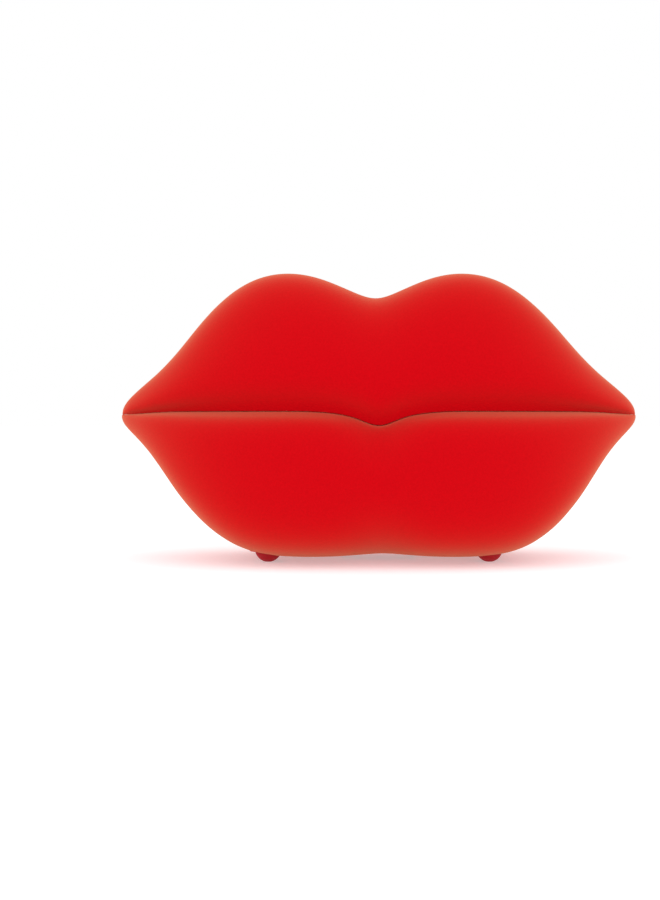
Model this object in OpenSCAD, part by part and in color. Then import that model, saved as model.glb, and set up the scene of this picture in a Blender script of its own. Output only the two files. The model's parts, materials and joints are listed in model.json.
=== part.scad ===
// Novelty desk telephone shaped as a pair of lips.
// The upper lip is the handset and lifts off the lower lip, which is the base.
// Units are millimetres. The origin is on the desk, under the middle of the lips.
// The mouth faces -Y, +X is to its right and +Z is up.

/* [Lips] */
// Width of the lips from corner to corner
lip_width = 240; // [232:1:248]
// Height of the parting plane between the two lips, above the desk
mouth_z = 66; // [65:0.5:67]
// Depth of the cupid's bow dip in the middle of the mouth line, at its control point
bow_dip = 7.8; // [5:0.1:8]
// How far the corners of the mouth sag below the parting plane
corner_sag = 0.8; // [0:0.1:1]
// Sideways lean of the hand-modelled lips, in mm for each mm of height
lean = 0.028; // [0:0.002:0.04]
// Thickness of the moulded lip shells
wall = 2.4; // [1.8:0.1:2.8]
// Gap between the two lips at the parting plane
parting_gap = 0.3; // [0.3:0.05:0.8]

/* [Base deck] */
// Height of the deck floor that the keys come through
deck_z = 59; // [58.5:0.1:59.5]
// Thickness of the deck's floor and walls
deck_wall = 1.6; // [1.4:0.1:2]
// Gap between the deck or handset cover and the shell around it
edge_gap = 0.6; // [0.4:0.1:1]

/* [Keypad] */
// Length of a key along X
key_length = 10.5; // [9:0.1:11]
// Width of a key along Y
key_width = 7.5; // [6.5:0.1:8]
// Spacing of the key columns
key_pitch_x = 13.5; // [13.2:0.1:14]
// Spacing of the key rows
key_pitch_y = 11.5; // [11:0.1:12]
// How far a key stands above the deck floor
key_rise = 3.4; // [2.5:0.1:4]
// How far a key travels when pressed
key_travel = 1.3; // [0.8:0.1:1.3]

/* [Acoustics] */
// Distance of the earpiece and of the microphone from the middle
acoustic_x = 76; // [72:1:76]
// Radius of the ear cap
ear_r = 20; // [19:0.5:20.5]
// Radius of the mouthpiece cap
mic_r = 13; // [11:0.5:14]

/* [Feet] */
// Distance of a foot from the middle, along X
foot_x = 49; // [47:0.5:51]
// Radius of a dome foot
foot_r = 6; // [5:0.25:6.5]

/* [Hidden] */
$fn = 48;
KEY_NAMES = ["key_flash", "key_redial", "key_mute", "key_1", "key_2", "key_3", "key_4", "key_5", "key_6",
             "key_7", "key_8", "key_9", "key_star", "key_0", "key_hash"];
FOOT_NAMES = ["foot_front_left", "foot_front_right", "foot_rear_left", "foot_rear_right"];

// Colours
RED = [0.86, 0.01, 0.07];
DEEP_RED = [0.62, 0.01, 0.04];
IVORY = [0.93, 0.92, 0.88];
BLACK = [0.06, 0.06, 0.07];
GREEN = [0.05, 0.32, 0.16];
STEEL = [0.62, 0.63, 0.65];
GREY = [0.45, 0.46, 0.48];

// Guides of the lips: one value for each station, from the middle to the corner of the mouth.
// They are control points of cubic B-splines, so the surface runs a little inside them.
STATIONS = [0, 9, 19, 30, 42, 54, 66, 78, 90, 101, 111, 124.5];
TOP = [117.4, 120.8, 125.6, 129.4, 130.3, 127.6, 120.6, 109, 94.4, 84, 77, 66];
BOTTOM = [1.4, 0.8, 0.4, 0.1, 0.2, 1.2, 5, 13.4, 27, 44.4, 54.6, 66];
BOW = [1, 0.37, 0.1, 0.01, 0, 0, 0, 0, 0, 0, 0, 0];        // share of bow_dip
SAG = [0, 0, 0, 0, 0, 0, 0, 0, 0, 0.25, 0.85, 1];          // share of corner_sag
LAST = len(STATIONS) - 1;
x_scale = lip_width / 240;
tip_y = 16;            // the corners of the mouth lie this far back
tip_x = lip_width / 2;
rim_lean = 0.9;
front_rise = 0.4;      // the mouth line is this much higher at the front than at the rear
crease_width = 13;     // spread of the crease down the middle of the lower lip
centre_y = 2.46;       // moves the finished part so that its bounding box is centred on the origin
steps_across = 2;      // facets for each station
steps_along = 3;       // facets for each span of a section
rows = 2 * LAST * steps_across;
cols = 8 * steps_along;

// Heights
half_gap = parting_gap / 2;
cover_z = mouth_z + 0.6;           // underside of the handset cover
cover_t = 1.8;
deck_t = 1.8;
deck_under = deck_z - deck_t;
deck_rim_z = mouth_z + 0.3;        // top of the deck's outer rim, which hides the slit of the mouth
cap_z = 61.6;                      // lowest face of the ear and mouthpiece caps
board_t = 1.6;

// Keypad
pad_y = 4.2;                       // middle of the keypad
key_clear = 0.35;
flange_t = 1.2;
flange_drop = 0.2;
mat_z = deck_under - flange_drop - flange_t - key_travel - 0.4;   // top of the rubber mat
mat_t = 1.2;
pad_board_z = mat_z - mat_t - 0.3 - board_t;                      // underside of the keypad board
pad_screw_x = 25.5;
pad_screw_y = [-20, 28];

// Hook switch
hook_x = 40;
hook_y = 4;
plunger_r = 4;

// Screws and feet
post_y = [-14, 18];
foot_pocket_z = 7;
foot_floor_t = 2.5;
post_z = foot_pocket_z + foot_floor_t + 0.2;
handset_post_x = 40;
handset_post_y = [-24, 33];

// Rear panel
panel_z = 43;
panel_w = 72;
panel_h = 15;
panel_face_y = 42.4;
line_jack_x = -25;
cord_jack_x = -8;
ringer_switch_x = 10;
dial_switch_x = 27;
handset_jack_x = -52;
handset_jack_z = 78;

function mix(a, b, f) = a + (b - a) * f;

// Depth of a guide at x, bowing back from its value in the middle to the corner of the mouth
function bow(middle, power, x) = mix(middle, tip_y, pow(min(1, abs(x) / x_scale / STATIONS[LAST]), power));
function groove_y(x) = bow(-35, 2.9, x);
function upper_front_y(x) = bow(-43.5, 3.0, x);
function lower_front_y(x) = bow(-50.5, 3.8, x);
function ridge_y(x) = bow(-14, 2.7, x);
function keel_y(x) = bow(-9, 2.8, x);
function rear_y(x) = bow(47.4, 3.5, x);
function rear_rim_y(x) = rear_y(x) - 0.03 * (rear_y(x) - lower_front_y(x));
function crease(x) = exp(-pow(x / x_scale / crease_width, 2));

// Front rim of the mouth at station i, and the half gap there, which closes up towards the corner
function mouth_line_z(i) = mouth_z + front_rise * (1 - SAG[i]) - bow_dip * BOW[i] - corner_sag * SAG[i];
function gap_at(i) = half_gap * (1 - 0.7 * pow(STATIONS[i] / STATIONS[LAST], 6));

// Control points of the section through one lip at station i, from front rim to rear rim
function upper_section(i, lift) =
    let (x = STATIONS[i] * x_scale, zm = mouth_line_z(i) + lift, zr = mouth_z + lift, zt = TOP[i],
         yg = groove_y(x), yf = upper_front_y(x), yt = ridge_y(x), yr = rear_y(x), h = zt - zm, w = yr - yf)
    [[x, yg, zm], [x, yg - 0.3, zm + 0.065 * h], [x, yf + 0.01 * w, zm + 0.21 * h],
     [x, yf + 0.01 * w, zm + 0.53 * h], [x, yt - 0.19 * w, zt - 0.02 * h], [x, yt + 0.20 * w, zt],
     [x, yr - 0.13 * w, mix(zr, zt, 0.62)], [x, yr, mix(zr, zt, 0.28)], [x, yr - 0.03 * w, zr]];

function lower_section(i, lift) =
    let (x = STATIONS[i] * x_scale, zm = mouth_line_z(i) + lift, zr = mouth_z + lift, zb = BOTTOM[i],
         yg = groove_y(x), yf = lower_front_y(x), yb = keel_y(x), yr = rear_y(x), h = zb - zm, w = yr - yf,
         c = crease(x))
    [[x, yg, zm], [x, mix(yf, yg, 0.7), zm + 0.02 * h], [x, yf + 4 * c, zm + (0.085 + 0.1 * c) * h],
     [x, yf - 0.02 * w, zm + 0.54 * h], [x, yb - 0.35 * w + 14 * c, zb], [x, yb + 0.40 * w, zb],
     [x, yr - 0.08 * w, mix(zr, zb, 0.66)], [x, yr, mix(zr, zb, 0.28)], [x, yr - 0.03 * w, zr]];

function section(i, upper) = upper ? upper_section(i, gap_at(i)) : lower_section(i, -gap_at(i));

function tip_point(upper) =
    [STATIONS[LAST] * x_scale, tip_y, mouth_line_z(LAST) + (upper ? gap_at(LAST) : -gap_at(LAST))];

// Beyond the corner each section is reflected through the corner, which closes the lip to a point
function beyond_tip(upper) =
    let (tip = tip_point(upper))
    [for (p = section(LAST - 1, upper)) [p.x, 2 * tip.y - p.y, 2 * tip.z - p.z]];

function half_row(i, upper) =
    i < LAST ? section(i, upper) : i == LAST ? [for (j = [0:8]) tip_point(upper)] : beyond_tip(upper);

function control_row(i, upper) =
    i < 0 ? [for (p = half_row(-i, upper)) [-p.x, p.y, p.z]] : half_row(i, upper);

function spline(f) = [pow(1 - f, 3), 3 * pow(f, 3) - 6 * f * f + 4, 1 + 3 * f + 3 * f * f - 3 * pow(f, 3),
                      pow(f, 3)] / 6;

function blend(w, a, b, c, d) = w[0] * a + w[1] * b + w[2] * c + w[3] * d;

function leaned(p) = [p.x + lean * (mouth_z - p.z) * (1 - pow(2 * p.x / lip_width, 4)), p.y, p.z];

// Points along one section, with a straight-on end at each rim
function section_points(q) =
    let (e = concat([2 * q[0] - q[1]], q, [2 * q[8] - q[7]]))
    [for (l = [0:cols]) let (j = min(floor(l / steps_along), 7), w = spline(l / steps_along - j))
        leaned(blend(w, e[j], e[j + 1], e[j + 2], e[j + 3]))];

function lip_grid(upper) =
    let (net = [for (i = [-LAST - 1:LAST + 1]) control_row(i, upper)])
    [for (k = [0:rows]) let (i = min(floor(k / steps_across), 2 * LAST - 1), w = spline(k / steps_across - i))
        section_points([for (j = [0:8]) blend(w, net[i][j], net[i + 1][j], net[i + 2][j], net[i + 3][j])])];

// The same grid moved inwards by the wall thickness
function inner_grid(grid, upper) =
    [for (k = [0:rows]) [for (l = [0:cols])
        k == 0 ? grid[0][0] + [1.5 * wall, 0, 0] :
        k == rows ? grid[rows][0] - [1.5 * wall, 0, 0] :
        let (n = cross(grid[k + 1][l] - grid[k - 1][l], grid[k][min(l + 1, cols)] - grid[k][max(l - 1, 0)]))
        grid[k][l] - (upper ? wall : -wall) * n / norm(n)]];

// Numbering of the points: the two corners first, then the rows between them
function index(k, l) = k == 0 ? 0 : k == rows ? 1 : 2 + (k - 1) * (cols + 1) + l;
function listed(grid) = concat([grid[0][0], grid[rows][0]], [for (k = [1:rows - 1]) each grid[k]]);
function triangles(a, b, c, d) =
    [for (t = [[a, b, c], [a, c, d]]) if (t[0] != t[1] && t[1] != t[2] && t[2] != t[0]) t];
function flipped(faces, flip) = flip ? [for (f = faces) [f[2], f[1], f[0]]] : faces;

function sheet_faces(offset) =
    [for (k = [0:rows - 1]) for (l = [0:cols - 1])
        each triangles(offset + index(k, l), offset + index(k, l + 1), offset + index(k + 1, l + 1),
                       offset + index(k + 1, l))];

// A band of faces from edge column la of one sheet to edge column lb of another
function band_faces(la, offset_a, lb, offset_b) =
    [for (k = [0:rows - 1])
        each triangles(offset_a + index(k, la), offset_a + index(k + 1, la), offset_b + index(k + 1, lb),
                       offset_b + index(k, lb))];

// One lip as a hollow shell, open at the parting plane
module lip_skin(upper) {
    grid = lip_grid(upper);
    outer = listed(grid);
    inner = listed(inner_grid(grid, upper));
    n = len(outer);
    faces = concat(sheet_faces(0), flipped(sheet_faces(n), true), band_faces(0, 0, 0, n),
                   flipped(band_faces(cols, 0, cols, n), true));
    polyhedron(concat(outer, inner), flipped(faces, !upper), convexity = 8);
}

// The same lip as one closed solid, used to trim ribs and bosses to its outside
module lip_solid(upper) {
    outer = listed(lip_grid(upper));
    polyhedron(outer, flipped(concat(sheet_faces(0), band_faces(0, 0, cols, 0)), !upper), convexity = 8);
}

// Outline that fits inside the rims, inset by margin, out to x = reach.
// The front rim's thick edge leans back by rim_lean, and the rims close in towards the corners.
// The front is set back by setback, and comes forward by bulge over the given width in the middle.
module rim_outline(margin, reach, setback = 0, bulge = 0, width = 11, power = 2) {
    xs = [for (i = [-16:16]) reach * i / 16];
    inset = [for (x = xs) edge_gap + margin + 1.4 * pow(x / tip_x, 12)];
    front = [for (i = [0:32])
        [xs[i], groove_y(xs[i]) + rim_lean + inset[i] + setback - bulge * exp(-pow(abs(xs[i]) / width, power))]];
    rear = [for (i = [32:-1:0]) [xs[i], rear_rim_y(xs[i]) - wall - inset[i]]];
    polygon(concat(front, rear));
}

module box(x0, x1, y0, y1, z0, z1) {
    translate([x0, y0, z0])
        cube([x1 - x0, y1 - y0, z1 - z0]);
}

module rod(x, y, z0, z1, r, r2 = -1) {
    translate([x, y, z0])
        cylinder(h = z1 - z0, r1 = r, r2 = r2 < 0 ? r : r2);
}

module tube(x, y, z0, z1, r_out, r_in) {
    difference() {
        rod(x, y, z0, z1, r_out);
        rod(x, y, z0 - 1, z1 + 1, r_in);
    }
}

// Pan-head screw with its head at the bottom, pointing up
module screw_up(x, y, z, length, r, head_r, head_h) {
    difference() {
        rod(x, y, z, z + head_h, head_r * 0.85, head_r);
        box(x - head_r * 0.6, x + head_r * 0.6, y - 0.3, y + 0.3, z - 1, z + head_h * 0.5);
        box(x - 0.3, x + 0.3, y - head_r * 0.6, y + head_r * 0.6, z - 1, z + head_h * 0.5);
    }
    rod(x, y, z + head_h, z + head_h + length, r);
}

// ---- Handset: the upper lip ----

module handset_shell() {
    color(RED)
        resize([lip_width, 0, 0])
            difference() {
                union() {
                    lip_skin(true);
                    intersection() {
                        lip_solid(true);
                        for (side = [-1, 1]) {
                            x = side * handset_post_x;
                            rod(x, handset_post_y[0], cover_z + cover_t + 0.2, 86, 3.6);
                            rod(x, handset_post_y[1], cover_z + cover_t + 0.2, 86, 3.6);
                            box(x - 1, x + 1, -60, handset_post_y[0], cover_z + cover_t + 0.2, 84);
                            box(x - 1, x + 1, handset_post_y[1], 60, cover_z + cover_t + 0.2, 84);
                        }
                    }
                }
                for (side = [-1, 1])
                    for (y = handset_post_y)
                        rod(side * handset_post_x, y, 60, 80, 1.25);
                box(handset_jack_x - 5.5, handset_jack_x + 5.5, 36, 60, handset_jack_z - 5.5,
                    handset_jack_z + 5.5);
                corner_tongues(0.4, 67.2);
            }
}

// Thin tongues in the corners of the mouth that line the two lips up, grown by slack
module corner_tongues(slack, top) {
    for (side = [-1, 1])
        scale([side, 1, 1])
            box(113.3 * x_scale - slack, 117.6 * x_scale + slack, tip_y - 0.4 - slack, tip_y + 0.4 + slack,
                63, top);
}

// Plate that closes the handset, with the ear and mouthpiece caps on it
module handset_cover() {
    color(DEEP_RED)
        difference() {
            union() {
                translate([0, 0, cover_z])
                    linear_extrude(cover_t)
                        rim_outline(0, 112 * x_scale, wall - rim_lean + 0.5, 1.2);
                rod(-acoustic_x, 8, cap_z, cover_z + cover_t, ear_r);
                rod(acoustic_x, 8, cap_z, cover_z + cover_t, mic_r);
                for (y = [14, 34])
                    rod(handset_jack_x + 5.5, y, cover_z, handset_jack_z - 7, 2.5);
                for (x = [-22, 22])
                    rod(x, 4, cover_z, cover_z + cover_t + 6, 2.4);
            }
            rod(-acoustic_x, 8, cap_z + 1.8, 80, ear_r - 2.4);
            rod(acoustic_x, 8, cap_z + 1.8, 80, 7.1);
            rod(-acoustic_x, 8, cap_z - 1, cap_z + 3, 1.1);
            for (ring = [[6, 5], [12, 10]])
                for (i = [0:ring[0] - 1])
                    rotate_about(-acoustic_x, 8, 360 * i / ring[0])
                        rod(-acoustic_x + ring[1], 8, cap_z - 1, cap_z + 3, 1.1);
            for (i = [0:4])
                rotate_about(acoustic_x, 8, 72 * i)
                    rod(acoustic_x + 3.2, 8, cap_z - 1, cap_z + 3, 0.9);
            for (side = [-1, 1])
                for (y = handset_post_y) {
                    rod(side * handset_post_x, y, cover_z - 1, cover_z + cover_t + 1, 1.6);
                    rod(side * handset_post_x, y, cover_z - 1, cover_z + 0.9, 3.2);
                }
        }
}

module rotate_about(x, y, angle) {
    translate([x, y, 0])
        rotate([0, 0, angle])
            translate([-x, -y, 0])
                children();
}

module earpiece() {
    top = cap_z + 2.4;
    color(BLACK)
        translate([-acoustic_x, 8, 0])
            rotate_extrude()
                polygon([[0, top], [16.8, top], [16.8, top + 6], [14, top + 8.5], [9, top + 8.5],
                         [9, top + 12], [0, top + 12]]);
}

module earpiece_gasket() {
    color(GREY)
        tube(-acoustic_x, 8, cap_z + 1.8, cap_z + 2.4, 16.8, 13.6);
}

module microphone() {
    color(STEEL)
        rod(acoustic_x, 8, cap_z + 2.9, cap_z + 9.6, 4.85);
}

module microphone_boot() {
    color(BLACK)
        difference() {
            rod(acoustic_x, 8, cap_z + 1.8, cap_z + 9.2, 7);
            rod(acoustic_x, 8, cap_z + 2.9, cap_z + 10, 4.85);
            rod(acoustic_x, 8, cap_z + 1, cap_z + 3.5, 3);
        }
}

module handset_weight() {
    z = cover_z + cover_t;
    color(STEEL)
        difference() {
            box(-30, 30, -8, 16, z, z + 6);
            for (x = [-22, 22])
                rod(x, 4, z - 1, z + 7, 2.5);
        }
}

// A modular telephone socket whose mouth faces +Y
module socket(x, y_mouth, z, w, h, depth, mouth_w, mouth_h) {
    difference() {
        box(x - w / 2, x + w / 2, y_mouth - depth, y_mouth, z - h / 2, z + h / 2);
        box(x - mouth_w / 2, x + mouth_w / 2, y_mouth - depth + 3, y_mouth + 1, z - mouth_h / 2 + 0.6,
            z + mouth_h / 2 + 0.6);
        box(x - 2, x + 2, y_mouth - depth + 3, y_mouth + 1, z - mouth_h / 2 - 1.2, z);
    }
}

module handset_jack() {
    color(BLACK)
        socket(handset_jack_x, 42.4, handset_jack_z, 10.4, 10.4, 15, 7.9, 6.6);
}

module handset_board() {
    top = handset_jack_z - 5.4;
    color(GREEN)
        box(handset_jack_x - 7, handset_jack_x + 7.6, 10, 38, top - board_t, top);
}

module handset_leads() {
    color(BLACK) {
        translate([-46, 24, 69.5])
            rotate([0, 90, 0])
                cylinder(h = 116, r = 1, $fn = 24);
        translate([-59.5, 24, 69.5])
            rotate([0, 90, 0])
                cylinder(h = 9, r = 1, $fn = 24);
    }
}

module handset_screws() {
    color(STEEL)
        for (side = [-1, 1])
            for (y = handset_post_y)
                screw_up(side * handset_post_x, y, cover_z - 0.8, 10, 1.2, 2.9, 1.6);
}

// ---- Base: the lower lip ----

module base_shell() {
    color(RED)
        resize([lip_width, 0, 0])
            difference() {
                union() {
                    lip_skin(false);
                    corner_tongues(0, 66.6);
                    intersection() {
                        lip_solid(false);
                        union() {
                            for (side = [-1, 1]) {
                                for (y = post_y)
                                    rod(side * foot_x, y, -1, foot_pocket_z + foot_floor_t, 8.2);
                                for (y = [-9, 13])
                                    rod(side * 32, y, -1, 15.8, 3);
                                box(side * 66 - 4, side * 66 + 4, -60, -19, 53.6, deck_under - 0.2);
                                box(side * 66 - 4, side * 66 + 4, 34, 60, 53.6, deck_under - 0.2);
                            }
                        }
                    }
                }
                for (side = [-1, 1]) {
                    for (y = post_y) {
                        rod(side * foot_x, y, -2, foot_pocket_z, foot_r + 0.25);
                        rod(side * foot_x, y, -2, 12, 1.7);
                    }
                    for (y = [-9, 13])
                        rod(side * 32, y, 8, 17, 1);
                }
                for (i = [-3:3])
                    box(i * 5 - 0.9, i * 5 + 0.9, -8, 10, -2, 6);
                box(-panel_w / 2, panel_w / 2, 32, 60, panel_z - panel_h / 2, panel_z + panel_h / 2);
            }
}

// Stadium outline, length along X
module stadium(length, width) {
    square([length - width, width], center = true);
    for (side = [-1, 1])
        translate([side * (length - width) / 2, 0])
            circle(d = width);
}

function key_x(i) = (i % 3 - 1) * key_pitch_x;
function key_y(i) = pad_y + (2 - floor(i / 3)) * key_pitch_y;

module cradle_deck() {
    color(DEEP_RED)
        difference() {
            union() {
                translate([0, 0, deck_rim_z - deck_wall])
                    linear_extrude(deck_wall)
                        rim_outline(2, 113 * x_scale, 0, -0.2, 30, 8);
                translate([0, 0, deck_under])
                    linear_extrude(deck_rim_z - deck_under)
                        rim_outline(0, 99 * x_scale, 0, -2.2, 30, 8);
                for (side = [-1, 1]) {
                    for (y = post_y)
                        rod(side * foot_x, y, post_z, deck_z, 3.6);
                    for (y = pad_screw_y)
                        rod(side * pad_screw_x, y, pad_board_z + board_t, deck_z, 2.6);
                    rod(hook_x + side * 9, hook_y, 46.9, deck_z, 2);
                }
            }
            difference() {
                translate([0, 0, deck_z])
                    linear_extrude(20)
                        rim_outline(deck_wall, 97.4 * x_scale, 0, -2.2, 30, 8);
                tube(-acoustic_x, 8, deck_under, deck_z + 3.4, ear_r + 2.4, ear_r + 0.8);
                tube(acoustic_x, 8, deck_under, deck_z + 3.4, mic_r + 2.4, mic_r + 0.8);
                tube(hook_x, hook_y, deck_under, deck_z + 1, plunger_r + 1.8, plunger_r + 0.2);
            }
            for (i = [0:14])
                translate([key_x(i), key_y(i), deck_under - 1])
                    linear_extrude(deck_t + 2)
                        stadium(key_length + 2 * key_clear, key_width + 2 * key_clear);
            rod(hook_x, hook_y, deck_under - 1, deck_z + 2, plunger_r + 0.2);
            for (side = [-1, 1]) {
                for (y = post_y)
                    rod(side * foot_x, y, post_z - 1, 30, 1.25);
                for (y = pad_screw_y)
                    rod(side * pad_screw_x, y, pad_board_z - 1, deck_under - 0.4, 0.8);
            }
        }
}

// A hollow key cap with the flange that keeps it under the deck
module key(i) {
    top = deck_z + key_rise;
    flange_top = deck_under - flange_drop;
    color(IVORY)
        translate([key_x(i), key_y(i), 0])
            difference() {
                union() {
                    translate([0, 0, flange_top - flange_t])
                        linear_extrude(flange_t)
                            stadium(key_length + 2, key_width + 2);
                    translate([0, 0, flange_top - 0.1])
                        linear_extrude(top - flange_top + 0.1)
                            stadium(key_length, key_width);
                }
                translate([0, 0, flange_top - flange_t - 1])
                    linear_extrude(flange_t + 1 + top - 1.8 - flange_top)
                        stadium(key_length - 2.4, key_width - 2.4);
            }
}

module keypad_mat() {
    post_top = deck_z + key_rise - 1.8 - key_travel - 0.1;
    color(GREY) {
        difference() {
            union() {
                box(-22.4, 22.4, pad_y - 29.2, pad_y + 29.2, mat_z - mat_t, mat_z);
                for (i = [0:14])
                    rod(key_x(i), key_y(i), mat_z - 0.1, post_top, 2.2, 1.6);
            }
            for (i = [0:14])
                rod(key_x(i), key_y(i), mat_z - mat_t - 1, mat_z - 0.3, 1.7);
        }
    }
}

module keypad_board() {
    color(GREEN)
        difference() {
            box(-29, 29, pad_y - 29.8, pad_y + 29.8, pad_board_z, pad_board_z + board_t);
            for (side = [-1, 1])
                for (y = pad_screw_y)
                    rod(side * pad_screw_x, y, pad_board_z - 1, pad_board_z + 3, 1);
        }
}

module keypad_screws() {
    color(STEEL)
        for (side = [-1, 1])
            for (y = pad_screw_y)
                screw_up(side * pad_screw_x, y, pad_board_z - 1.4, board_t + 4, 0.78, 2, 1.4);
}

// The plunger that the handset holds down
module hook_plunger() {
    top = cover_z - 0.1;
    color(IVORY)
        translate([hook_x, hook_y, 0])
            rotate_extrude()
                polygon([[0, 43], [1.5, 43], [1.5, 51.5], [5.2, 51.5], [5.2, 52.7], [plunger_r, 52.7],
                         [plunger_r, top - 1.2], [plunger_r - 1.2, top], [0, top]]);
}

// Compression spring drawn as the sleeve that its coils fill
module hook_spring() {
    color(STEEL)
        tube(hook_x, hook_y, 47, 51.4, 3.4, 1.8);
}

module hook_switch() {
    color(BLACK)
        difference() {
            union() {
                box(hook_x - 6, hook_x + 6, hook_y - 5, hook_y + 5, 39, 46.8);
                box(hook_x - 11.5, hook_x + 11.5, hook_y - 2.5, hook_y + 2.5, 45, 46.8);
            }
            rod(hook_x, hook_y, 41, 48, 1.7);
        }
}

module main_board() {
    color(GREEN)
        difference() {
            box(-38, 38, -15, 19, 16, 16 + board_t);
            for (side = [-1, 1])
                for (y = [-9, 13])
                    rod(side * 32, y, 15, 19, 1.2);
        }
}

module board_parts() {
    z = 16 + board_t;
    color(BLACK) {
        box(-4, 16, -6, 2, z, z + 3.2);
        box(22, 28, 2, 12, z, z + 4);
        box(-34, -20, 8, 17, z, z + 8);
        for (x = [-2, 5, 12])
            rod(x, 9, z, z + 7, 2.6);
        rod(20, -9, z, z + 10, 4);
        rod(-16, 12, z, z + 5, 2);
    }
}

module ringer() {
    z = 16 + board_t;
    color(BLACK)
        difference() {
            rod(-20, -5, z, z + 7, 9);
            rod(-20, -5, z + 5.5, z + 8, 1.6);
        }
}

// Flat ribbon that joins the keypad board to the main board
module ribbon_cable() {
    z0 = 16 + board_t;
    color(GREY)
        translate([-8, 0, 0])
            rotate([90, 0, 90])
                linear_extrude(16)
                    polygon([[17, z0], [17.7, z0], [17.7, 26], [25.7, 36], [25.7, pad_board_z],
                             [25, pad_board_z], [25, 36.3], [17, 26.3]]);
}

module base_weight() {
    color(STEEL)
        box(-26, 26, -11, 15, 7, 14);
}

module rear_panel() {
    w = panel_w - 0.5;
    h = panel_h - 0.5;
    color(BLACK)
        difference() {
            union() {
                box(-w / 2, w / 2, 39.4, panel_face_y, panel_z - h / 2, panel_z + h / 2);
                box(-w / 2 - 2, w / 2 + 2, 37.8, 39.4, panel_z - h / 2 - 2, panel_z + h / 2 + 2);
            }
            box(-w / 2 + 2, w / 2 - 2, 37, panel_face_y - 1.8, panel_z - h / 2 + 1.2, panel_z + h / 2 - 1.2);
            box(line_jack_x - 6.4, line_jack_x + 6.4, 37, 44, panel_z - 6.2, panel_z + 6.2);
            box(cord_jack_x - 5.4, cord_jack_x + 5.4, 37, 44, panel_z - 5.4, panel_z + 5.4);
            for (x = [ringer_switch_x, dial_switch_x])
                box(x - 3.9, x + 3.9, 37, 44, panel_z - 1.7, panel_z + 1.7);
        }
}

module line_jack() {
    color(BLACK)
        socket(line_jack_x, 42.2, panel_z, 12.4, 12, 16, 9.8, 7);
}

module cord_jack() {
    color(BLACK)
        socket(cord_jack_x, 42.2, panel_z, 10.4, 10.4, 15, 7.9, 6.6);
}

// Slide switch body behind the rear panel
module slide_switch(x) {
    color(BLACK)
        difference() {
            box(x - 6, x + 6, 32.4, 38.8, panel_z - 3, panel_z + 3);
            box(x - 3.7, x + 3.7, 35.4, 40, panel_z - 1.4, panel_z + 1.4);
        }
}

// Knob of a slide switch at one end of its slot, with grip ribs
module switch_knob(x) {
    color(IVORY)
        difference() {
            box(x - 3.4, x - 0.4, 35.6, 44, panel_z - 1.2, panel_z + 1.2);
            for (i = [0:2])
                box(x - 3 + i * 0.9, x - 2.6 + i * 0.9, 43.5, 45, panel_z - 2, panel_z + 2);
        }
}

module base_screws() {
    color(STEEL)
        for (side = [-1, 1])
            for (y = post_y)
                screw_up(side * foot_x, y, foot_pocket_z - 1.8, 14, 1.2, 2.9, 1.8);
}

// Rubber dome foot, hollow over the screw head, with a small flat to stand on
module foot(i) {
    x = (i % 2 == 0 ? -1 : 1) * foot_x;
    y = post_y[floor(i / 2)];
    color(DEEP_RED)
        translate([x, y, 0])
            rotate_extrude()
                difference() {
                    union() {
                        intersection() {
                            translate([0, foot_r - 0.25])
                                circle(r = foot_r);
                            square([foot_r, foot_r]);
                        }
                        translate([0, foot_r - 0.5])
                            square([foot_r, foot_pocket_z - 0.1 - foot_r + 0.5]);
                    }
                    translate([0, foot_pocket_z - 2.2])
                        square([3.4, 5]);
                }
}

// Puts a finished node into the part's own frame
module placed() {
    translate([0, centre_y, 0])
        children();
}

placed() handset_shell();
placed() handset_cover();
placed() earpiece();
placed() earpiece_gasket();
placed() microphone();
placed() microphone_boot();
placed() handset_weight();
placed() handset_board();
placed() handset_jack();
placed() handset_leads();
placed() handset_screws();
placed() base_shell();
placed() cradle_deck();
for (i = [0:14])
    placed() key(i);
placed() keypad_mat();
placed() keypad_board();
placed() keypad_screws();
placed() hook_plunger();
placed() hook_spring();
placed() hook_switch();
placed() main_board();
placed() board_parts();
placed() ringer();
placed() ribbon_cable();
placed() base_weight();
placed() rear_panel();
placed() line_jack();
placed() cord_jack();
placed() slide_switch(ringer_switch_x);  // ringer_switch
placed() switch_knob(ringer_switch_x);  // ringer_switch_knob
placed() slide_switch(dial_switch_x);  // dial_switch
placed() switch_knob(dial_switch_x);  // dial_switch_knob
placed() base_screws();
for (i = [0:3])
    placed() foot(i);
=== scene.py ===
import json
import math

import bmesh
import bpy
import numpy as np
from mathutils import Matrix, Vector


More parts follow.
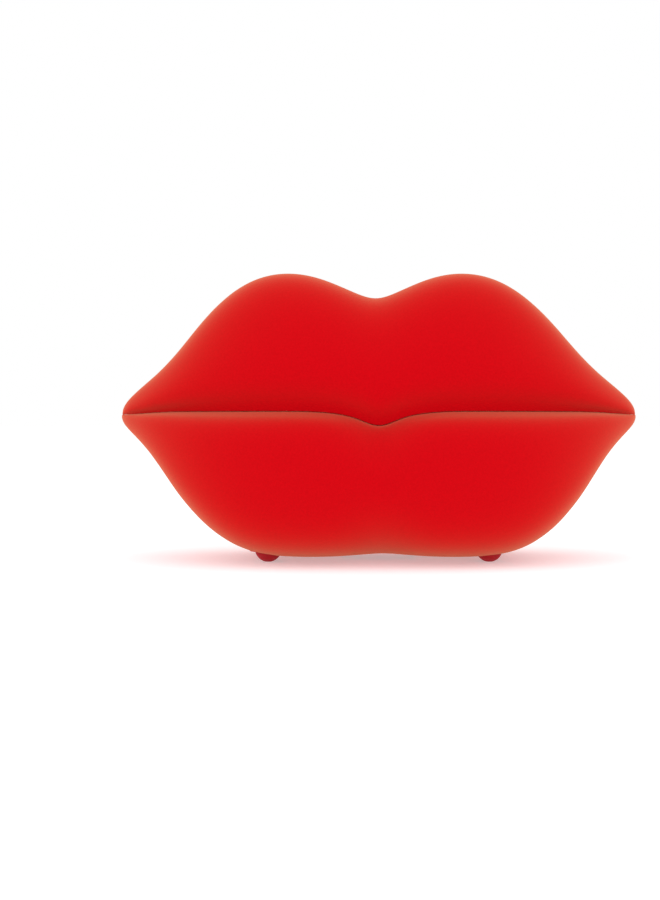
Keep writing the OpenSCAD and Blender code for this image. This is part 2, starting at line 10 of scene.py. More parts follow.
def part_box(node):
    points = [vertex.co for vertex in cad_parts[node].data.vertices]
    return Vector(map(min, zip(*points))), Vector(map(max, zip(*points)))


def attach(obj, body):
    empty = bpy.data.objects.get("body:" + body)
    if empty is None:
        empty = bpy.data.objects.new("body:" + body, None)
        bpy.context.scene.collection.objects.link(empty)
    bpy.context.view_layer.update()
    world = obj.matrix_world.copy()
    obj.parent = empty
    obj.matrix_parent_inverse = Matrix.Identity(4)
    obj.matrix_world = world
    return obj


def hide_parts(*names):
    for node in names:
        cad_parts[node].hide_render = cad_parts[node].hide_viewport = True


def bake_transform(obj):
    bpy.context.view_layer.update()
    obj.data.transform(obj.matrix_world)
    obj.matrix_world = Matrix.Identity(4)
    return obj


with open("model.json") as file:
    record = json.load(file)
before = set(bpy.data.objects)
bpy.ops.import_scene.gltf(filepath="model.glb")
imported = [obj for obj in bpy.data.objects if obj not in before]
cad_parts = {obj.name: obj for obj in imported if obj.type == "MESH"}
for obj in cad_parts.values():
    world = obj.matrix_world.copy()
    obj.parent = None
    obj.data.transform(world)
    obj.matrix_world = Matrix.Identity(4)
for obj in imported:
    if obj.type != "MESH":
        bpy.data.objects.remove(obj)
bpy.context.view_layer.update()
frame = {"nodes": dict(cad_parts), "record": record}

MM = 0.001

# ---------------------------------------------------------------------------
# Driving values, in millimetres, as in the CAD source
# ---------------------------------------------------------------------------
LIP_WIDTH = 240.0
MOUTH_Z = 66.0
BOW_DIP = 7.8
CORNER_SAG = 0.8
FRONT_RISE = 0.4    # the mouth line is this much higher at the front than at the rear
CREASE_WIDTH = 13.0
LEAN = 0.028
WALL = 2.4
HALF_GAP = 0.04     # the lips nearly touch, and more so towards the corners
RIM_ROUND = 0.5     # rounding of the rims
TIP_Y = 16.0
CENTRE_Y = 2.46     # the CAD source moves every part back by this much
STATIONS = np.array([0, 9, 19, 30, 42, 54, 66, 78, 90, 101, 111, 124.5])
TOP = np.array([117.4, 120.8, 125.6, 129.4, 130.3, 127.6, 120.6, 109, 94.4, 84, 77, 66])
BOTTOM = np.array([1.4, 0.8, 0.4, 0.1, 0.2, 1.2, 5, 13.4, 27, 44.4, 54.6, 66])
BOW = np.array([1, 0.37, 0.1, 0.01, 0, 0, 0, 0, 0, 0, 0, 0])
SAG = np.array([0, 0, 0, 0, 0, 0, 0, 0, 0, 0.25, 0.85, 1])
LAST = len(STATIONS) - 1
ACROSS = 8          # facets for each station
ALONG = 8           # facets for each span of a section
TONGUE_X = (113.3, 117.6)       # a tongue in each corner of the lower lip enters a slot in the upper one
TONGUE_HALF = 0.4
TONGUE_Z = (64.4, 66.6)
SLOT_SLACK = 0.4
SLOT_Z = (60, 67.2)
REAR_WINDOW = (-36, 36, 34, 60, 35.5, 50.5)
JACK_SLACK = 0.3
RINGER_SLOTS_EACH_SIDE = 3
RINGER_SLOT_PITCH = 5
RINGER_SLOT_HALF = 0.9
FEET = ["foot_front_left", "foot_front_right", "foot_rear_left", "foot_rear_right"]
FOOT_R = 6
FOOT_CENTRE_Z = 5.75
FOOT_POCKET_R = 6.25
FOOT_CUP_R = 8.2
SCREW_HOLE_R = 1.7
KEYS = {"key_flash": "flash", "key_redial": "redial", "key_mute": "mute",
        "key_star": "*", "key_0": "0", "key_hash": "#"}
KEYS.update({f"key_{digit}": str(digit) for digit in range(1, 10)})
KEY_FLANGE = 1
KEY_WALL = 1.2
KEY_SHOULDER = 1.8  # from a key's side to the edge of the hollow in its top
KEY_EDGE_DROP = 0.12
KEY_DISH = 0.5      # depth of the hollow in the top of a key
INK_PROUD = 0.05    # the legends stand this far above the dish
HUB = 0.05          # radius of the small flat that closes a turned piece on its axis

# ---------------------------------------------------------------------------
# Camera, in metres
# ---------------------------------------------------------------------------
LENS = 47.4
SHIFT_X = -0.0542
SHIFT_Y = -0.0316
EYE_DISTANCE = 0.540
EYE_HEIGHT = 0.062

# ---------------------------------------------------------------------------
# Small helpers
# ---------------------------------------------------------------------------


def new_object(name, mesh):
    piece = bpy.data.objects.new(name, mesh)
    bpy.context.scene.collection.objects.link(piece)
    return piece


def smooth(mesh, angle=35):
    """Smooth shading with edges sharper than angle degrees kept crisp."""
    for face in mesh.polygons:
        face.use_smooth = True
    mesh.set_sharp_from_angle(angle=math.radians(angle))


def mesh_from(name, points, faces, angle=35):
    mesh = bpy.data.meshes.new(name)
    mesh.from_pydata([tuple(p) for p in points], [], faces)
    mesh.validate()
    smooth(mesh, angle)
    return new_object(name, mesh)


def applied(piece):
    """The piece as a plain mesh, with its modifiers, curve or font turned into faces."""
    graph = bpy.context.evaluated_depsgraph_get()
    mesh = bpy.data.meshes.new_from_object(piece.evaluated_get(graph))
    if piece.type == "MESH":
        piece.modifiers.clear()
        piece.data = mesh
        return piece
    name = piece.name
    bpy.data.objects.remove(piece)
    return new_object(name, mesh)


def dress(piece, material):
    piece.data.materials.clear()
    piece.data.materials.append(material)
    return piece


# ---------------------------------------------------------------------------
# The lips: tensor-product cubic B-splines through a few guides
# ---------------------------------------------------------------------------


def bow(middle, power):
    """A guide's depth at each station, bowing back to the corner of the mouth."""
    return middle + (TIP_Y - middle) * (STATIONS / STATIONS[LAST]) ** power


GROOVE_Y = bow(-35, 2.9)
UPPER_FRONT_Y = bow(-43.5, 3.0)
LOWER_FRONT_Y = bow(-50.5, 3.8)
RIDGE_Y = bow(-14, 2.7)
KEEL_Y = bow(-9, 2.8)
REAR_Y = bow(47.4, 3.5)
MOUTH_LINE_Z = MOUTH_Z + FRONT_RISE * (1 - SAG) - BOW_DIP * BOW - CORNER_SAG * SAG
CREASE = np.exp(-((STATIONS / CREASE_WIDTH) ** 2))


def mix(a, b, f):
    return a + (b - a) * f


def sections(upper):
    """Control points of every station's section, from the front rim to the rear rim."""
    lift = (HALF_GAP if upper else -HALF_GAP) * (1 - 0.8 * SAG)
    mouth = MOUTH_LINE_Z + lift
    rear_mouth = MOUTH_Z + lift
    far = TOP if upper else BOTTOM
    front = UPPER_FRONT_Y if upper else LOWER_FRONT_Y
    height = far - mouth
    depth = REAR_Y - front
    if upper:
        rows = [(GROOVE_Y, mouth), (GROOVE_Y - 0.3, mouth + 0.065 * height),
                (front + 0.01 * depth, mouth + 0.21 * height), (front + 0.01 * depth, mouth + 0.53 * height),
                (RIDGE_Y - 0.19 * depth, far - 0.02 * height), (RIDGE_Y + 0.20 * depth, far),
                (REAR_Y - 0.13 * depth, mix(rear_mouth, far, 0.62))]
    else:
        rows = [(GROOVE_Y, mouth), (mix(front, GROOVE_Y, 0.7), mouth + 0.02 * height),
                (front + 4 * CREASE, mouth + (0.085 + 0.1 * CREASE) * height),
                (front - 0.02 * depth, mouth + 0.54 * height),
                (KEEL_Y - 0.35 * depth + 14 * CREASE, far), (KEEL_Y + 0.40 * depth, far),
                (REAR_Y - 0.08 * depth, mix(rear_mouth, far, 0.66))]
    rows += [(REAR_Y, mix(rear_mouth, far, 0.28)), (REAR_Y - 0.03 * depth, rear_mouth)]
    return np.stack([np.stack([STATIONS, y, z], 1) for y, z in rows], 1)


def control_net(upper):
    """Rows from beyond the left corner to beyond the right corner."""
    half = sections(upper)
    tip = half[LAST, 0].copy()
    beyond = half[LAST - 1].copy()
    beyond[:, 1:] = 2 * tip[1:] - beyond[:, 1:]
    half[LAST] = tip
    right = np.concatenate([half, beyond[None]])
    left = right[:0:-1] * np.array([-1, 1, 1])
    return np.concatenate([left, right])


def spline_matrix(controls, steps):
    """Weights of uniform cubic B-spline points, steps points for each span."""
    spans = controls - 3
    weights = np.zeros((spans * steps + 1, controls))
    for k in range(spans * steps + 1):
        i = min(k // steps, spans - 1)
        f = k / steps - i
        weights[k, i:i + 4] = np.array([(1 - f) ** 3, 3 * f ** 3 - 6 * f * f + 4,
                                        1 + 3 * f + 3 * f * f - 3 * f ** 3, f ** 3]) / 6
    return weights


def lip_grid(upper, node):
    """Points of a lip's outside, scaled by a hair to fill their CAD node's box and stay inside it."""
    net = control_net(upper)
    ends = np.concatenate([2 * net[:, :1] - net[:, 1:2], net, 2 * net[:, -1:] - net[:, -2:-1]], 1)
    across = spline_matrix(net.shape[0], ACROSS)
    along = spline_matrix(ends.shape[1], ALONG)
    grid = np.einsum("ki,lj,ijc->klc", across, along, ends)
    grid[..., 0] += LEAN * (MOUTH_Z - grid[..., 2]) * (1 - (2 * grid[..., 0] / LIP_WIDTH) ** 4)
    low, high = (np.array(corner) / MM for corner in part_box(node))
    y, z = grid[..., 1], grid[..., 2]
    grid[..., 1] = low[1] + (y - y.min()) * (high[1] - low[1]) / (y.max() - y.min())
    far, reach = (high[2], z.max()) if upper else (low[2], z.min())
    grid[..., 2] = MOUTH_Z + (z - MOUTH_Z) * (far - MOUTH_Z) / (reach - MOUTH_Z)
    return grid


def inner_grid(grid, upper):
    """The grid moved inwards by the wall thickness, which thins out towards the corners."""
    normal = np.cross(np.gradient(grid, axis=0), np.gradient(grid, axis=1))
    normal[0] = normal[-1] = 1
    normal /= np.linalg.norm(normal, axis=2, keepdims=True)
    height = np.ptp(grid[..., 2], axis=1)[:, None, None]
    wall = WALL * np.minimum(1, height / 8)
    inner = grid - (wall if upper else -wall) * normal
    inner[0] = grid[0] + np.array([0.4, 0, 0])
    inner[-1] = grid[-1] - np.array([0.4, 0, 0])
    return inner


def rounded(corner, before, after, radius, steps=3):
    """Points that round a corner between its two neighbours."""
    start = mix(corner, before, min(0.45, radius / max(1e-6, np.linalg.norm(before - corner))))
    end = mix(corner, after, min(0.45, radius / max(1e-6, np.linalg.norm(after - corner))))
    shares = [i / steps for i in range(steps + 1)]
    return [mix(mix(start, corner, f), mix(corner, end, f), f) for f in shares]


def lip_shell(name, upper, node):
    """A lip as a hollow shell, open at the mouth, with rounded rims."""
    grid = lip_grid(upper, node)
    inner = inner_grid(grid, upper)
    last_row = len(grid) - 1
    loops = []
    for outside, inside in zip(grid[1:last_row], inner[1:last_row]):
        loop = rounded(outside[0], inside[0], outside[1], RIM_ROUND) + list(outside[1:-1])
        loop += rounded(outside[-1], outside[-2], inside[-1], RIM_ROUND)
        loop += rounded(inside[-1], outside[-1], inside[-2], RIM_ROUND) + list(inside[-2:0:-1])
        loop += rounded(inside[0], inside[1], outside[0], RIM_ROUND)
        loops.append(loop)
    count = len(loops[0])
    points = [grid[0, 0], inner[0, 0], grid[last_row, 0], inner[last_row, 0]]
    points += [point for loop in loops for point in loop]

    def index(k, j):
        """Every loop's outer half runs to the outer point at a corner, its inner half to the inner one."""
        inside = (j % count) >= count // 2
        if k == 0:
            return int(inside)
        if k == last_row:
            return 2 + int(inside)
        return 4 + (k - 1) * count + j % count

    faces = []
    for k in range(last_row):
        for j in range(count):
            corners = [index(k, j), index(k + 1, j), index(k + 1, j + 1), index(k, j + 1)]
            ring = [c for n, c in enumerate(corners) if c != corners[n - 1]]
            faces.append(ring if upper else ring[::-1])
    return mesh_from(name, np.array(points) * MM, faces, angle=50)


def turned(name, profile, x=0.0, y=0.0, straight=0.0, sides=48, angle=35):
    """A closed profile of (radius, z) points swept round a vertical line, or round a segment along X
    that is straight long, which makes stadium shapes. Its first and last points close it with flat caps."""
    quarter = [2 * math.pi * i / sides for i in range(sides)]
    points = []
    for radius, z in profile:
        for turn in quarter:
            end = straight / 2 if math.cos(turn) > 0 else -straight / 2
            points.append((x + end + radius * math.cos(turn), y + radius * math.sin(turn), z))
    faces = [list(range(sides))[::-1], [(len(profile) - 1) * sides + i for i in range(sides)]]
    for k in range(len(profile) - 1):
        for i in range(sides):
            j = (i + 1) % sides
            faces.append([k * sides + i, k * sides + j, (k + 1) * sides + j, (k + 1) * sides + i])
    return mesh_from(name, np.array(points) * MM, faces, angle)


def softened(profile, radius):
    """The same profile with its inner corners rounded."""
    points = [np.array(p, float) for p in profile]
    soft = [points[0]]
    for before, corner, after in zip(points, points[1:], points[2:]):
        soft += rounded(corner, before, after, radius)
    return soft + [points[-1]]


def block(x0, x1, y0, y1, z0, z1):
    """A plain box to cut with, in millimetres."""
    points = [(x, y, z) for x in (x0, x1) for y in (y0, y1) for z in (z0, z1)]
    faces = [(0, 1, 3, 2), (4, 6, 7, 5), (0, 4, 5, 1), (2, 3, 7, 6), (0, 2, 6, 4), (1, 5, 7, 3)]
    return mesh_from("block", np.array(points) * MM, faces)


def drum(x, y, z0, z1, radius):
    return turned("drum", [(radius, z0), (radius, z1)], x, y)


def combined(piece, others, operation):
    """Cuts others from a piece, or adds them to it, and removes them."""
    for other in others:
        modifier = piece.modifiers.new("shape", "BOOLEAN")
        modifier.operation = operation
        modifier.solver = "EXACT"
        modifier.object = other
    applied(piece)
    for other in others:
        bpy.data.objects.remove(other)
    smooth(piece.data, 40)
    return piece


def joined(name, pieces):
    """One mesh of several, each keeping its own material."""
    shape = bmesh.new()
    materials = []
    for piece in pieces:
        first = len(shape.faces)
        shape.from_mesh(piece.data)
        shape.faces.ensure_lookup_table()
        for face in shape.faces[first:]:
            face.material_index += len(materials)
        materials += list(piece.data.materials)
        bpy.data.objects.remove(piece)
    mesh = bpy.data.meshes.new(name)
    shape.to_mesh(mesh)
    shape.free()
    for material in materials:
        mesh.materials.append(material)
    return new_object(name, mesh)


def wire(name, path, radius_mm, sides=10):
    """A round wire along a path of points in millimetres."""
    curve = bpy.data.curves.new(name, "CURVE")
    curve.dimensions = "3D"
    curve.bevel_depth = radius_mm * MM
    curve.bevel_resolution = sides // 4
    curve.use_fill_caps = True
    spline = curve.splines.new("POLY")
    spline.points.add(len(path) - 1)
    for point, (x, y, z) in zip(spline.points, path):
        point.co = (x * MM, y * MM, z * MM, 1)
    return applied(new_object(name, curve))


# ---------------------------------------------------------------------------
# Materials
# ---------------------------------------------------------------------------


class Shader:
    """A Principled material with object-space procedural detail."""

    def __init__(self, name, colour, roughness, metallic=0.0, specular=0.5):
        self.material = bpy.data.materials.new(name)
        self.material.use_nodes = True
        self.tree = self.material.node_tree
        self.shader = self.tree.nodes["Principled BSDF"]
        self.place = self.add("ShaderNodeTexCoord").outputs["Object"]
        self.set("Base Color", (*colour, 1))
        self.set("Roughness", roughness)
        self.set("Metallic", metallic)
        self.set("Specular IOR Level", specular)
        self.colour = colour

    def add(self, kind, **values):
        node = self.tree.nodes.new(kind)
        for key, value in values.items():
            setattr(node, key, value)
        return node

    def link(self, source, target):
        self.tree.links.new(source, target)

    def set(self, socket, value):
        self.shader.inputs[socket].default_value = value

    def noise(self, scale, detail=3.0, roughness=0.55, stretch=(1, 1, 1)):
        """Noise with scale features for each metre, stretched along an axis for brushed grain."""
        mapping = self.add("ShaderNodeMapping")
        mapping.inputs["Scale"].default_value = stretch
        self.link(self.place, mapping.inputs["Vector"])
        node = self.add("ShaderNodeTexNoise")
        node.inputs["Scale"].default_value = scale
        node.inputs["Detail"].default_value = detail
        node.inputs["Roughness"].default_value = roughness
        self.link(mapping.outputs["Vector"], node.inputs["Vector"])
        return node.outputs["Fac"]

    def ramp(self, factor, stops):
        node = self.add("ShaderNodeValToRGB")
        elements = node.color_ramp.elements
        while len(elements) < len(stops):
            elements.new(0.5)
        for element, (position, colour) in zip(elements, stops):
            element.position = position
            element.color = (*colour, 1)
        self.link(factor, node.inputs["Fac"])
        return node.outputs["Color"]

    def tint(self, factor, low, high, start=0.35, end=0.65):
        """Varies the base colour between two multiples of it."""
        darker = tuple(c * low for c in self.colour)
        lighter = tuple(min(1, c * high) for c in self.colour)
        self.link(self.ramp(factor, [(start, darker), (end, lighter)]), self.shader.inputs["Base Color"])

    def vary_roughness(self, factor, low, high):
        node = self.add("ShaderNodeMapRange")
        node.inputs["From Min"].default_value = 0.3
        node.inputs["From Max"].default_value = 0.7
        node.inputs["To Min"].default_value = low
        node.inputs["To Max"].default_value = high
        self.link(factor, node.inputs["Value"])
        self.link(node.outputs["Result"], self.shader.inputs["Roughness"])

    def bump(self, factor, distance_mm, strength=1.0):
        node = self.add("ShaderNodeBump")
        node.inputs["Distance"].default_value = distance_mm * MM
        node.inputs["Strength"].default_value = strength
        self.link(factor, node.inputs["Height"])
        self.link(node.outputs["Normal"], self.shader.inputs["Normal"])


SHEEN = 0.36
SHEEN_ROUGHNESS = 0.44


def lip_material():
    """Matte soft-touch red with a velvety sheen where it is seen at a grazing angle."""
    made = Shader("lip_soft_red", (0.585, 0.0, 0.005), 0.9, specular=0.0)
    made.set("Sheen Weight", SHEEN)
    made.set("Sheen Roughness", SHEEN_ROUGHNESS)
    made.set("Sheen Tint", (1.0, 0.9, 0.5, 1))
    made.tint(made.noise(1100, 3, 0.6), 0.96, 1.04)
    made.vary_roughness(made.noise(400, 3), 0.8, 1.0)
    made.bump(made.noise(1500, 2, 0.6), 0.06, 0.5)
    return made.material


def plastic(name, colour, roughness, specular=0.5, grain=1800, depth_mm=0.02, spread=0.06):
    made = Shader(name, colour, roughness, specular=specular)
    made.tint(made.noise(60, 3), 1 - spread, 1 + spread)
    made.vary_roughness(made.noise(500, 3), roughness * 0.85, min(1, roughness * 1.2))
    made.bump(made.noise(grain, 2, 0.6), depth_mm, 0.5)
    return made.material


def metal(name, colour, roughness, stretch=(1, 1, 20)):
    made = Shader(name, colour, roughness, metallic=1.0)
    grain = made.noise(300, 4, 0.6, stretch)
    made.tint(grain, 0.85, 1.1)
    made.vary_roughness(grain, roughness * 0.7, roughness * 1.3)
    made.bump(grain, 0.02, 0.4)
    return made.material


LIP = lip_material()
TRIM = plastic("trim_satin_red", (0.34, 0.0, 0.004), 0.35)
BLACK = plastic("black_plastic", (0.012, 0.012, 0.013), 0.5)
SOCKET = plastic("socket_black", (0.01, 0.01, 0.011), 0.35)
IVORY = plastic("key_ivory", (0.78, 0.75, 0.66), 0.4, spread=0.03)
INK = plastic("key_ink", (0.02, 0.02, 0.022), 0.55)
RUBBER = plastic("black_rubber", (0.02, 0.02, 0.02), 0.8, specular=0.3, grain=900, depth_mm=0.05)
FOOT = plastic("foot_rubber", (0.42, 0.0, 0.008), 0.6, specular=0.3, grain=1500, depth_mm=0.04)
FOAM = plastic("grey_foam", (0.07, 0.07, 0.072), 0.95, specular=0.1, grain=1400, depth_mm=0.3)
SILICONE = plastic("silicone", (0.17, 0.18, 0.19), 0.6, specular=0.3)
BOARD = plastic("circuit_board", (0.006, 0.09, 0.03), 0.35)
STEEL = metal("steel", (0.55, 0.55, 0.56), 0.35)
ZINC = metal("zinc_screw", (0.6, 0.6, 0.62), 0.3, stretch=(1, 1, 1))
GOLD = metal("gold_contact", (0.9, 0.62, 0.22), 0.25)
RIBBON = plastic("ribbon_grey", (0.25, 0.26, 0.28), 0.5)

SLOT_MATERIALS = {
    "lip_red": LIP, "trim_red": TRIM, "black_plastic": BLACK, "grey_foam": FOAM, "steel": STEEL,
    "black_rubber": RUBBER, "circuit_board": BOARD, "socket_black": SOCKET, "lead_black": RUBBER,
    "screw_steel": ZINC, "silicone": SILICONE, "spring_steel": STEEL, "ribbon_grey": RIBBON,
    "foot_rubber": FOOT, "key_ivory": IVORY,
}

# ---------------------------------------------------------------------------
# Camera, floor and light
# ---------------------------------------------------------------------------


def camera():
    """A near, level camera in front of the mouth; the object sits right of and above the middle."""
    data = bpy.data.cameras.new("camera")
    data.lens = LENS
    data.shift_x = SHIFT_X
    data.shift_y = SHIFT_Y
    data.clip_start = 0.01
    eye = new_object("camera", data)
    eye.location = (0, -EYE_DISTANCE + CENTRE_Y * MM, EYE_HEIGHT)
    eye.rotation_euler = (math.pi / 2, 0, 0)
    bpy.context.scene.camera = eye


def floor():
    """A wide pale floor, lit a little from within like a light table, that meets the white surroundings."""
    sides, reach = 96, 14.0
    turns = [2 * math.pi * i / sides for i in range(sides)]
    rim = [(reach * math.cos(turn), reach * math.sin(turn), 0) for turn in turns]
    piece = mesh_from("floor", rim, [list(range(sides))])
    paper = Shader("floor_paper", (0.8, 0.8, 0.8), 0.9, specular=0.0)
    paper.tint(paper.noise(3, 2), 0.99, 1.01)
    paper.set("Emission Color", (1, 1, 1, 1))
    paper.set("Emission Strength", 0.35)
    dress(piece, paper.material)


def light(name, location, target, size, power):
    data = bpy.data.lights.new(name, "AREA")
    data.shape = "RECTANGLE"
    data.size, data.size_y = size
    data.energy = power
    lamp = new_object(name, data)
    lamp.location = location
    lamp.rotation_euler = (Vector(target) - Vector(location)).to_track_quat("-Z", "Y").to_euler()


def studio():
    scene = bpy.context.scene
    scene.view_settings.view_transform = "Standard"
    world = bpy.data.worlds.new("studio")
    world.use_nodes = True
    world.node_tree.nodes["Background"].inputs["Color"].default_value = (1, 1, 1, 1)
    world.node_tree.nodes["Background"].inputs["Strength"].default_value = 1.0
    scene.world = world
    light("top", (0, -0.1, 1.2), (0, 0, 0.06), (1.6, 1.0), 3)
    light("left", (-1.2, -0.5, 0.5), (0, 0, 0.06), (0.8, 0.8), 1)
    light("right", (1.2, -0.5, 0.5), (0, 0, 0.06), (0.8, 0.8), 1)


# ---------------------------------------------------------------------------
# Lips
# ---------------------------------------------------------------------------


def grown(node, margin_x, margin_z, y0, y1):
    """A block round a node's box, from y0 to y1, to cut its window with."""
    low, high = (np.array(corner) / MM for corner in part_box(node))
    return block(low[0] - margin_x, high[0] + margin_x, y0, y1, low[2] - margin_z, high[2] + margin_z)


def corner_blocks(slack, z0, z1):
    """A block in each corner of the mouth, as a tongue or, with slack round it, as the slot for one."""
    blocks = []
    y = TIP_Y + CENTRE_Y
    half = TONGUE_HALF + slack
    for side in (-1, 1):
        x0, x1 = sorted((side * (TONGUE_X[0] - slack), side * (TONGUE_X[1] + slack)))
        blocks.append(block(x0, x1, y - half, y + half, z0, z1))
    return blocks


def upper_lip():
    """The handset's shell, with its socket's window and the corner slots."""
    piece = lip_shell("upper_lip", True, "handset_shell")
    cutters = [grown("handset_jack", JACK_SLACK, JACK_SLACK, 36, 60)]
    cutters += corner_blocks(SLOT_SLACK, *SLOT_Z)
    combined(piece, cutters, "DIFFERENCE")
    dress(piece, LIP)
    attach(piece, "handset")
    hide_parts("handset_shell")


def ringer_slot(x):
    return block(x - RINGER_SLOT_HALF, x + RINGER_SLOT_HALF, CENTRE_Y - 8, CENTRE_Y + 10, -2, 6)


def lower_lip():
    """The base's shell, with its tongues, the rear panel's window, the ringer's slots and foot pockets."""
    piece = lip_shell("lower_lip", False, "base_shell")
    combined(piece, corner_blocks(0, *TONGUE_Z), "UNION")
    cutters = [block(*REAR_WINDOW)]
    for i in range(-RINGER_SLOTS_EACH_SIDE, RINGER_SLOTS_EACH_SIDE + 1):
        cutters.append(ringer_slot(RINGER_SLOT_PITCH * i))
    for node in FEET:
        x, y = centre(node)
        cutters.append(drum(x, y, -2, 9, FOOT_POCKET_R))
    combined(piece, cutters, "DIFFERENCE")
    dress(piece, LIP)
    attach(piece, "base")
    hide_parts("base_shell")


def foot_cups():
    """The moulded cups that the feet and the base screws sit in."""
    cups = []
    for node in FEET:
        x, y = centre(node)
        profile = [(SCREW_HOLE_R, 7), (FOOT_POCKET_R, 7), (FOOT_POCKET_R, 4.8), (FOOT_CUP_R, 4.8),
                   (FOOT_CUP_R, 9.5), (SCREW_HOLE_R, 9.5), (SCREW_HOLE_R, 7)]
        cups.append(ring("cup", profile, x, y))
    piece = joined("foot_cups", cups)
    dress(piece, LIP)
    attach(piece, "base")


# ---------------------------------------------------------------------------
# Feet, keys and hook switch
# ---------------------------------------------------------------------------


def centre(node):
    low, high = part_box(node)
    return (low.x + high.x) / 2 / MM, (low.y + high.y) / 2 / MM


def ring(name, profile, x, y, sides=48):
    """A closed loop profile turned round a vertical line, for pieces with a hole."""
    count = len(profile) - 1
    points = []
    for i in range(sides):
        turn = 2 * math.pi * i / sides
        points += [(x + r * math.cos(turn), y + r * math.sin(turn), z) for r, z in profile[:count]]
    faces = []
    for i in range(sides):
        for k in range(count):
            n, m = i * count, (i + 1) % sides * count
            faces.append([n + k, m + k, m + (k + 1) % count, n + (k + 1) % count])
    return mesh_from(name, np.array(points) * MM, faces)


def arc(radius, centre_z, start, end, steps=8):
    """Profile points on a circle round the axis, between two angles above the horizontal."""
    angles = [math.radians(mix(start, end, i / steps)) for i in range(steps + 1)]
    return [(radius * math.cos(a), centre_z + radius * math.sin(a)) for a in angles]


def foot(node):
    """A hollow rubber dome with a small flat to stand on and a fine lip where it meets the shell."""
    x, y = centre(node)
    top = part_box(node)[1].z / MM
    flat = -math.degrees(math.asin(FOOT_CENTRE_Z / FOOT_R))
    profile = [(HUB, 0)] + arc(FOOT_R, FOOT_CENTRE_Z, flat, 0, 12)
    profile += [(FOOT_R, top - 0.3), (FOOT_R - 0.3, top)]
    profile += [(3.4, top), (3.4, top - 2.1), (HUB, top - 2.1)]
    piece = turned(node + "_dome", profile, x, y, angle=40)
    dress(piece, FOOT)
    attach(piece, "base")
    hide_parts(node)


def pictogram(kind):
    """Flat outline of a key's legend, in millimetres round the middle of the key."""
    if kind == "flash":
        return [[(0.3, 1.7), (-1.1, -0.2), (-0.15, -0.2), (-0.4, -1.7),
                 (1.1, 0.35), (0.15, 0.35), (0.75, 1.7)]]
    if kind == "redial":
        turns = [math.radians(-40 + 280 * i / 20) for i in range(21)]
        band = [(1.45 * math.cos(t), 1.45 * math.sin(t)) for t in turns]
        band += [(0.95 * math.cos(t), 0.95 * math.sin(t)) for t in reversed(turns)]
        return [band, [(0.45, -1.55), (1.75, -1.35), (1.25, -0.05)]]
    turns = [2 * math.pi * i / 32 for i in range(33)]
    band = [(1.6 * math.cos(t), 1.6 * math.sin(t)) for t in turns]
    band += [(1.15 * math.cos(t), 1.15 * math.sin(t)) for t in reversed(turns)]
    return [band, [(-1.15, 0.85), (-0.85, 1.15), (1.15, -0.85), (0.85, -1.15)]]


def legend(kind):
    """A digit, sign or pictogram as a thin plate lying on z = 0."""
    if kind in ("flash", "redial", "mute"):
        shape = bmesh.new()
        for outline in pictogram(kind):
            face = shape.faces.new([shape.verts.new((x * MM, y * MM, 0)) for x, y in outline])
            face.normal_update()
            if face.normal.z < 0:
                face.normal_flip()
        bmesh.ops.triangulate(shape, faces=shape.faces[:])
        lifted = bmesh.ops.extrude_face_region(shape, geom=shape.faces[:])
        for v in [g for g in lifted["geom"] if isinstance(g, bmesh.types.BMVert)]:
            v.co.z += 2 * INK_PROUD * MM
        bmesh.ops.recalc_face_normals(shape, faces=shape.faces[:])
        mesh = bpy.data.meshes.new("legend")
        shape.to_mesh(mesh)
        shape.free()
        return new_object("legend", mesh)
    font = bpy.data.curves.new("legend", "FONT")
    font.body = kind
    font.size = (6.4 if kind == "*" else 4.8) * MM
    font.align_x = "CENTER"
    font.align_y = "CENTER"
    font.offset = 0.05 * MM
    font.extrude = INK_PROUD * MM
    piece = applied(new_object("legend", font))
    points = np.array([v.co for v in piece.data.vertices])
    middle = (points.min(0) + points.max(0)) / 2
    piece.data.transform(Matrix.Translation(-Vector(middle) + Vector((0, 0, INK_PROUD * MM))))
    return piece


def key(node):
    """A hollow cap with a rounded edge, a dished top, a flange and an inlaid legend."""
    low, high = (np.array(corner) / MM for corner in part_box(node))
    x, y = (low[:2] + high[:2]) / 2
    half_width = (high[1] - low[1]) / 2 - KEY_FLANGE
    straight = high[0] - low[0] - 2 * KEY_FLANGE - 2 * half_width
    bottom, top = low[2], high[2]
    inside = half_width - KEY_SHOULDER
    edge = [(half_width, bottom + 2), (half_width, top), (inside, top - KEY_EDGE_DROP)]

    def dish(radius):
        fall = (KEY_DISH - KEY_EDGE_DROP) * (1 - (min(radius, inside) / inside) ** 2)
        return top - KEY_EDGE_DROP - fall

    flange = half_width + KEY_FLANGE
    cavity = half_width - KEY_WALL
    profile = [(HUB, top - 1.8), (cavity, top - 1.8), (cavity, bottom), (flange - 0.15, bottom),
               (flange, bottom + 0.15), (flange, bottom + 1.05), (flange - 0.15, bottom + 1.2),
               (half_width, bottom + 1.2)]
    profile += [(float(r), float(z)) for r, z in softened(edge, 0.9)[1:]]
    rings = [inside * (1 - i / 8) for i in range(1, 8)] + [HUB]
    profile += [(radius, dish(radius)) for radius in rings]
    cap = turned("cap", profile, x, y, straight, angle=50)
    dress(cap, IVORY)
    mark = legend(KEYS[node])
    for v in mark.data.vertices:
        away = math.hypot(max(0, abs(v.co.x / MM) - straight / 2), v.co.y / MM)
        v.co += Vector((x, y, dish(away) - INK_PROUD)) * MM
    dress(mark, INK)
    piece = joined(node + "_cap", [cap, mark])
    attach(piece, node)
    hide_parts(node)


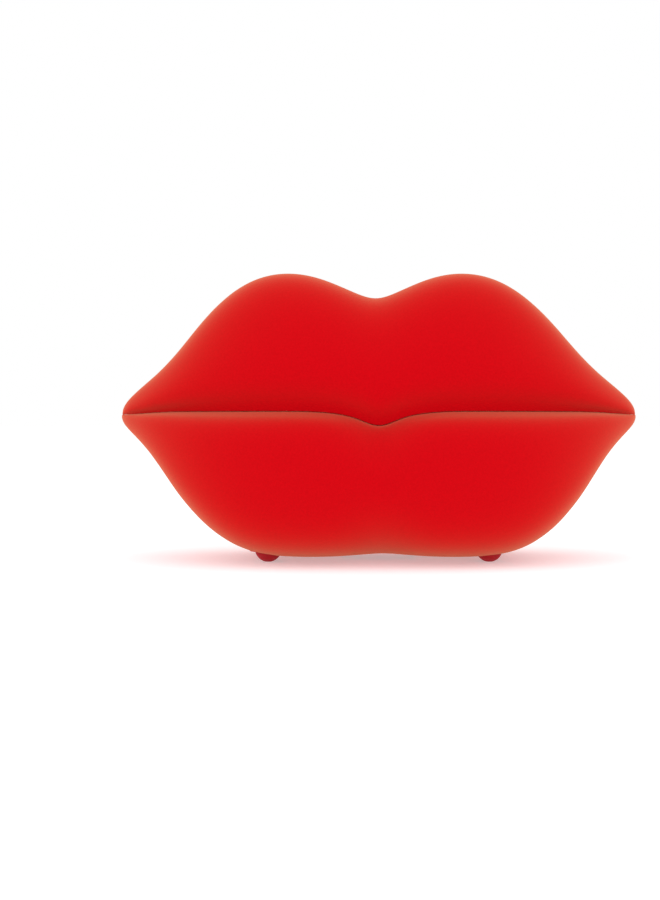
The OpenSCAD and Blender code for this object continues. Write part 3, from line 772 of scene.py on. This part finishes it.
def plunger():
    """The hook switch's plunger, turned, with a domed tip."""
    x, y = centre("hook_plunger")
    low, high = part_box("hook_plunger")
    bottom, top = low.z / MM, high.z / MM
    profile = [(HUB, bottom), (1.2, bottom), (1.5, bottom + 0.3), (1.5, bottom + 8.5), (5.0, bottom + 8.5),
               (5.2, bottom + 8.7), (5.2, bottom + 9.5), (5.0, bottom + 9.7), (4, bottom + 9.7)]
    profile += [(2.2 + r, z) for r, z in arc(1.8, top - 1.8, 0, 80, 8)] + [(0.8, top - 0.01), (HUB, top)]
    piece = turned("hook_plunger_turned", profile, x, y)
    dress(piece, IVORY)
    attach(piece, "hook_plunger")
    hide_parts("hook_plunger")


def coil_spring():
    """The compression spring under the plunger's collar, with closed end turns."""
    x, y = centre("hook_spring")
    low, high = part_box("hook_spring")
    bottom, top = low.z / MM + 0.31, high.z / MM - 0.31
    turns, steps = 5.0, 28
    path = []
    for i in range(int(turns * steps) + 1):
        share = i / (turns * steps)
        rise = min(1, max(0, (share * turns - 0.8) / (turns - 1.6)))
        lift = 0.05 * share
        turn = 2 * math.pi * i / steps
        height = mix(bottom, top - 0.05, rise) + lift
        path.append((x + 2.6 * math.cos(turn), y + 2.6 * math.sin(turn), height))
    piece = wire("hook_spring_coil", path, 0.3)
    smooth(piece.data, 60)
    dress(piece, STEEL)
    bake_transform(piece)
    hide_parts("hook_spring")


def contacts(node, count, pitch, body):
    """Gold spring wires in a modular socket, bent down from the roof towards the mouth."""
    x, _ = centre(node)
    low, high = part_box(node)
    mouth, roof, middle = high.y / MM, high.z / MM - 1.6, (low.z + high.z) / 2 / MM
    wires = []
    for i in range(count):
        at = x + (i - (count - 1) / 2) * pitch
        path = [(at, mouth - 11.2, middle - 1.0), (at, mouth - 10.4, middle + 0.4),
                (at, mouth - 5.2, roof - 0.5), (at, mouth - 4.4, roof - 0.1), (at, mouth - 3.6, roof - 0.2)]
        piece = wire("wire", path, 0.24)
        smooth(piece.data, 60)
        wires.append(piece)
    piece = joined(node + "_contacts", wires)
    dress(piece, GOLD)
    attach(piece, body)


# ---------------------------------------------------------------------------
# The whole telephone
# ---------------------------------------------------------------------------

camera()
floor()
studio()

for subpart in frame["record"]["subparts"]:
    part = frame["nodes"][subpart["node"]]
    dress(part, SLOT_MATERIALS[subpart["material_slot"]])

upper_lip()
lower_lip()
foot_cups()
for name in FEET:
    foot(name)
for name in KEYS:
    key(name)
plunger()
coil_spring()
contacts("line_jack", 6, 1.02, "base")
contacts("cord_jack", 4, 1.02, "base")
contacts("handset_jack", 4, 1.02, "handset")
